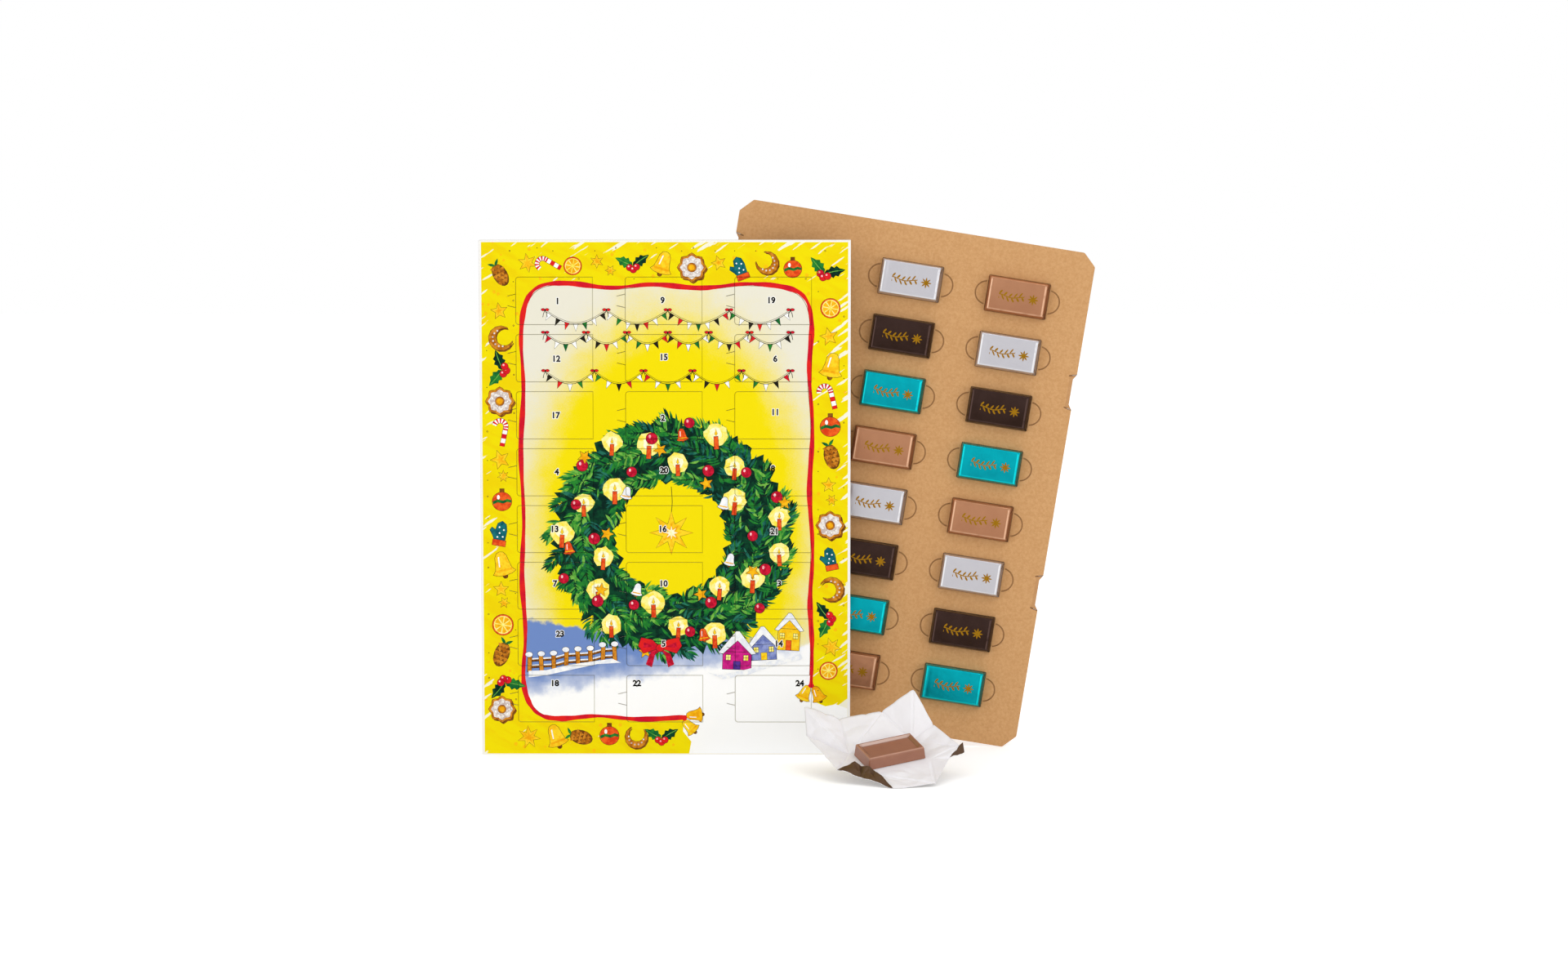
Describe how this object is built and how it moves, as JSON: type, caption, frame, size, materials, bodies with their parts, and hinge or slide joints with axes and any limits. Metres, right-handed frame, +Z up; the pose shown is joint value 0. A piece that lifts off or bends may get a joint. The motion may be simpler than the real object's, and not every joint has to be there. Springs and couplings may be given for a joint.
{
  "type": "chocolate advent calendar",
  "caption": "Flat upright carton with numbered flip doors, a kraft tray of foil wrapped bars drawn out behind it and one bar lying on its opened wrapper.",
  "frame": {"origin": "centre of the sleeve's bottom face, on the surface it stands on", "axes": "+X to the right of the numbered front, +Y to the back, +Z up; the front faces -Y"},
  "size_m": [0.4116, 0.1707, 0.3711],
  "materials": {
    "printed_card": "matte print",
    "white_card": "matte coated",
    "kraft_board": "uncoated kraft",
    "foil_copper": "satin foil",
    "foil_silver": "satin foil",
    "foil_dark": "satin foil",
    "foil_teal": "satin foil",
    "milk_chocolate": "satin",
    "wrapper_paper": "creased"
  },
  "bodies": {
    "sleeve": {"front_panel": "printed_card", "back_panel": "white_card", "left_spine": "printed_card", "right_spine": "printed_card", "glue_flap": "white_card", "bottom_flap": "white_card", "dust_flaps": "white_card"},
    "top_flap": {"top_flap": "white_card"},
    "tray": {"tray_panel": "kraft_board", "tray_backing": "kraft_board"},
    "wrapper": {"open_wrapper": "wrapper_paper"},
    "loose_bar": {"unwrapped_bar": "milk_chocolate"},
    "door_01": {"door_01": "printed_card"},
    "chocolate_01": {"chocolate_01": "foil_dark"},
    "door_09": {"door_09": "printed_card"},
    "chocolate_09": {"chocolate_09": "foil_silver"},
    "door_19": {"door_19": "printed_card"},
    "chocolate_19": {"chocolate_19": "foil_copper"},
    "door_12": {"door_12": "printed_card"},
    "chocolate_12": {"chocolate_12": "foil_teal"},
    "door_15": {"door_15": "printed_card"},
    "chocolate_15": {"chocolate_15": "foil_dark"},
    "door_06": {"door_06": "printed_card"},
    "chocolate_06": {"chocolate_06": "foil_silver"},
    "door_17": {"door_17": "printed_card"},
    "chocolate_17": {"chocolate_17": "foil_copper"},
    "door_02": {"door_02": "printed_card"},
    "chocolate_02": {"chocolate_02": "foil_teal"},
    "door_11": {"door_11": "printed_card"},
    "chocolate_11": {"chocolate_11": "foil_dark"},
    "door_04": {"door_04": "printed_card"},
    "chocolate_04": {"chocolate_04": "foil_silver"},
    "door_20": {"door_20": "printed_card"},
    "chocolate_20": {"chocolate_20": "foil_copper"},
    "door_08": {"door_08": "printed_card"},
    "chocolate_08": {"chocolate_08": "foil_teal"},
    "door_13": {"door_13": "printed_card"},
    "chocolate_13": {"chocolate_13": "foil_dark"},
    "door_16": {"door_16": "printed_card"},
    "chocolate_16": {"chocolate_16": "foil_silver"},
    "door_21": {"door_21": "printed_card"},
    "chocolate_21": {"chocolate_21": "foil_copper"},
    "door_07": {"door_07": "printed_card"},
    "chocolate_07": {"chocolate_07": "foil_teal"},
    "door_10": {"door_10": "printed_card"},
    "chocolate_10": {"chocolate_10": "foil_dark"},
    "door_03": {"door_03": "printed_card"},
    "chocolate_03": {"chocolate_03": "foil_silver"},
    "door_23": {"door_23": "printed_card"},
    "chocolate_23": {"chocolate_23": "foil_copper"},
    "door_05": {"door_05": "printed_card"},
    "chocolate_05": {"chocolate_05": "foil_teal"},
    "door_14": {"door_14": "printed_card"},
    "chocolate_14": {"chocolate_14": "foil_dark"},
    "door_18": {"door_18": "printed_card"},
    "door_22": {"door_22": "printed_card"},
    "chocolate_22": {"chocolate_22": "foil_copper"},
    "door_24": {"door_24": "printed_card"},
    "chocolate_24": {"chocolate_24": "foil_teal"}
  },
  "joints": [
    {"name": "top_flap_hinge", "type": "hinge", "parent": "sleeve", "child": "top_flap", "pos_m": [0, -0.0065, 0.345], "axis": [1, 0, 0], "range_deg": [0, 170]},
    {"name": "tray_lift", "type": "slide", "parent": "sleeve", "child": "tray", "axis": [0, 0, 1], "range_m": [0, 0.06]},
    {"name": "wrapper_lift", "type": "slide", "parent": "sleeve", "child": "wrapper", "axis": [0, 0, 1], "range_m": [0, 0.05]},
    {"name": "bar_lift", "type": "slide", "parent": "wrapper", "child": "loose_bar", "axis": [0, 0, 1], "range_m": [0, 0.04]},
    {"name": "door_01_hinge", "type": "hinge", "parent": "sleeve", "child": "door_01", "pos_m": [-0.04795, -0.007, 0.30485], "axis": [0, 0, 1], "range_deg": [0, 165]},
    {"name": "chocolate_01_slide", "type": "slide", "parent": "tray", "child": "chocolate_01", "axis": [0, -1, 0], "range_m": [0, 0.012]},
    {"name": "door_09_hinge", "type": "hinge", "parent": "sleeve", "child": "door_09", "pos_m": [0.02475, -0.007, 0.30485], "axis": [0, 0, 1], "range_deg": [0, 165]},
    {"name": "chocolate_09_slide", "type": "slide", "parent": "tray", "child": "chocolate_09", "axis": [0, -1, 0], "range_m": [0, 0.012]},
    {"name": "door_19_hinge", "type": "hinge", "parent": "sleeve", "child": "door_19", "pos_m": [0.09745, -0.007, 0.30485], "axis": [0, 0, 1], "range_deg": [0, 165]},
    {"name": "chocolate_19_slide", "type": "slide", "parent": "tray", "child": "chocolate_19", "axis": [0, -1, 0], "range_m": [0, 0.012]},
    {"name": "door_12_hinge", "type": "hinge", "parent": "sleeve", "child": "door_12", "pos_m": [-0.04795, -0.007, 0.26675], "axis": [0, 0, 1], "range_deg": [0, 165]},
    {"name": "chocolate_12_slide", "type": "slide", "parent": "tray", "child": "chocolate_12", "axis": [0, -1, 0], "range_m": [0, 0.012]},
    {"name": "door_15_hinge", "type": "hinge", "parent": "sleeve", "child": "door_15", "pos_m": [0.02475, -0.007, 0.26675], "axis": [0, 0, 1], "range_deg": [0, 165]},
    {"name": "chocolate_15_slide", "type": "slide", "parent": "tray", "child": "chocolate_15", "axis": [0, -1, 0], "range_m": [0, 0.012]},
    {"name": "door_06_hinge", "type": "hinge", "parent": "sleeve", "child": "door_06", "pos_m": [0.09745, -0.007, 0.26675], "axis": [0, 0, 1], "range_deg": [0, 165]},
    {"name": "chocolate_06_slide", "type": "slide", "parent": "tray", "child": "chocolate_06", "axis": [0, -1, 0], "range_m": [0, 0.012]},
    {"name": "door_17_hinge", "type": "hinge", "parent": "sleeve", "child": "door_17", "pos_m": [-0.04795, -0.007, 0.22865], "axis": [0, 0, 1], "range_deg": [0, 165]},
    {"name": "chocolate_17_slide", "type": "slide", "parent": "tray", "child": "chocolate_17", "axis": [0, -1, 0], "range_m": [0, 0.012]},
    {"name": "door_02_hinge", "type": "hinge", "parent": "sleeve", "child": "door_02", "pos_m": [0.02475, -0.007, 0.22865], "axis": [0, 0, 1], "range_deg": [0, 165]},
    {"name": "chocolate_02_slide", "type": "slide", "parent": "tray", "child": "chocolate_02", "axis": [0, -1, 0], "range_m": [0, 0.012]},
    {"name": "door_11_hinge", "type": "hinge", "parent": "sleeve", "child": "door_11", "pos_m": [0.09745, -0.007, 0.22865], "axis": [0, 0, 1], "range_deg": [0, 165]},
    {"name": "chocolate_11_slide", "type": "slide", "parent": "tray", "child": "chocolate_11", "axis": [0, -1, 0], "range_m": [0, 0.012]},
    {"name": "door_04_hinge", "type": "hinge", "parent": "sleeve", "child": "door_04", "pos_m": [-0.04795, -0.007, 0.19055], "axis": [0, 0, 1], "range_deg": [0, 165]},
    {"name": "chocolate_04_slide", "type": "slide", "parent": "tray", "child": "chocolate_04", "axis": [0, -1, 0], "range_m": [0, 0.012]},
    {"name": "door_20_hinge", "type": "hinge", "parent": "sleeve", "child": "door_20", "pos_m": [0.02475, -0.007, 0.19055], "axis": [0, 0, 1], "range_deg": [0, 165]},
    {"name": "chocolate_20_slide", "type": "slide", "parent": "tray", "child": "chocolate_20", "axis": [0, -1, 0], "range_m": [0, 0.012]},
    {"name": "door_08_hinge", "type": "hinge", "parent": "sleeve", "child": "door_08", "pos_m": [0.09745, -0.007, 0.19055], "axis": [0, 0, 1], "range_deg": [0, 165]},
    {"name": "chocolate_08_slide", "type": "slide", "parent": "tray", "child": "chocolate_08", "axis": [0, -1, 0], "range_m": [0, 0.012]},
    {"name": "door_13_hinge", "type": "hinge", "parent": "sleeve", "child": "door_13", "pos_m": [-0.04795, -0.007, 0.15245], "axis": [0, 0, 1], "range_deg": [0, 165]},
    {"name": "chocolate_13_slide", "type": "slide", "parent": "tray", "child": "chocolate_13", "axis": [0, -1, 0], "range_m": [0, 0.012]},
    {"name": "door_16_hinge", "type": "hinge", "parent": "sleeve", "child": "door_16", "pos_m": [0.02475, -0.007, 0.15245], "axis": [0, 0, 1], "range_deg": [0, 165]},
    {"name": "chocolate_16_slide", "type": "slide", "parent": "tray", "child": "chocolate_16", "axis": [0, -1, 0], "range_m": [0, 0.012]},
    {"name": "door_21_hinge", "type": "hinge", "parent": "sleeve", "child": "door_21", "pos_m": [0.09745, -0.007, 0.15245], "axis": [0, 0, 1], "range_deg": [0, 165]},
    {"name": "chocolate_21_slide", "type": "slide", "parent": "tray", "child": "chocolate_21", "axis": [0, -1, 0], "range_m": [0, 0.012]},
    {"name": "door_07_hinge", "type": "hinge", "parent": "sleeve", "child": "door_07", "pos_m": [-0.04795, -0.007, 0.11435], "axis": [0, 0, 1], "range_deg": [0, 165]},
    {"name": "chocolate_07_slide", "type": "slide", "parent": "tray", "child": "chocolate_07", "axis": [0, -1, 0], "range_m": [0, 0.012]},
    {"name": "door_10_hinge", "type": "hinge", "parent": "sleeve", "child": "door_10", "pos_m": [0.02475, -0.007, 0.11435], "axis": [0, 0, 1], "range_deg": [0, 165]},
    {"name": "chocolate_10_slide", "type": "slide", "parent": "tray", "child": "chocolate_10", "axis": [0, -1, 0], "range_m": [0, 0.012]},
    {"name": "door_03_hinge", "type": "hinge", "parent": "sleeve", "child": "door_03", "pos_m": [0.09745, -0.007, 0.11435], "axis": [0, 0, 1], "range_deg": [0, 165]},
    {"name": "chocolate_03_slide", "type": "slide", "parent": "tray", "child": "chocolate_03", "axis": [0, -1, 0], "range_m": [0, 0.012]},
    {"name": "door_23_hinge", "type": "hinge", "parent": "sleeve", "child": "door_23", "pos_m": [-0.04795, -0.007, 0.07625], "axis": [0, 0, 1], "range_deg": [0, 165]},
    {"name": "chocolate_23_slide", "type": "slide", "parent": "tray", "child": "chocolate_23", "axis": [0, -1, 0], "range_m": [0, 0.012]},
    {"name": "door_05_hinge", "type": "hinge", "parent": "sleeve", "child": "door_05", "pos_m": [0.02475, -0.007, 0.07625], "axis": [0, 0, 1], "range_deg": [0, 165]},
    {"name": "chocolate_05_slide", "type": "slide", "parent": "tray", "child": "chocolate_05", "axis": [0, -1, 0], "range_m": [0, 0.012]},
    {"name": "door_14_hinge", "type": "hinge", "parent": "sleeve", "child": "door_14", "pos_m": [0.09745, -0.007, 0.07625], "axis": [0, 0, 1], "range_deg": [0, 165]},
    {"name": "chocolate_14_slide", "type": "slide", "parent": "tray", "child": "chocolate_14", "axis": [0, -1, 0], "range_m": [0, 0.012]},
    {"name": "door_18_hinge", "type": "hinge", "parent": "sleeve", "child": "door_18", "pos_m": [-0.04795, -0.007, 0.03815], "axis": [0, 0, 1], "range_deg": [0, 165]},
    {"name": "door_22_hinge", "type": "hinge", "parent": "sleeve", "child": "door_22", "pos_m": [0.02475, -0.007, 0.03815], "axis": [0, 0, 1], "range_deg": [0, 165]},
    {"name": "chocolate_22_slide", "type": "slide", "parent": "tray", "child": "chocolate_22", "axis": [0, -1, 0], "range_m": [0, 0.012]},
    {"name": "door_24_hinge", "type": "hinge", "parent": "sleeve", "child": "door_24", "pos_m": [0.09745, -0.007, 0.03815], "axis": [0, 0, 1], "range_deg": [0, 165]},
    {"name": "chocolate_24_slide", "type": "slide", "parent": "tray", "child": "chocolate_24", "axis": [0, -1, 0], "range_m": [0, 0.012]}
  ]
}
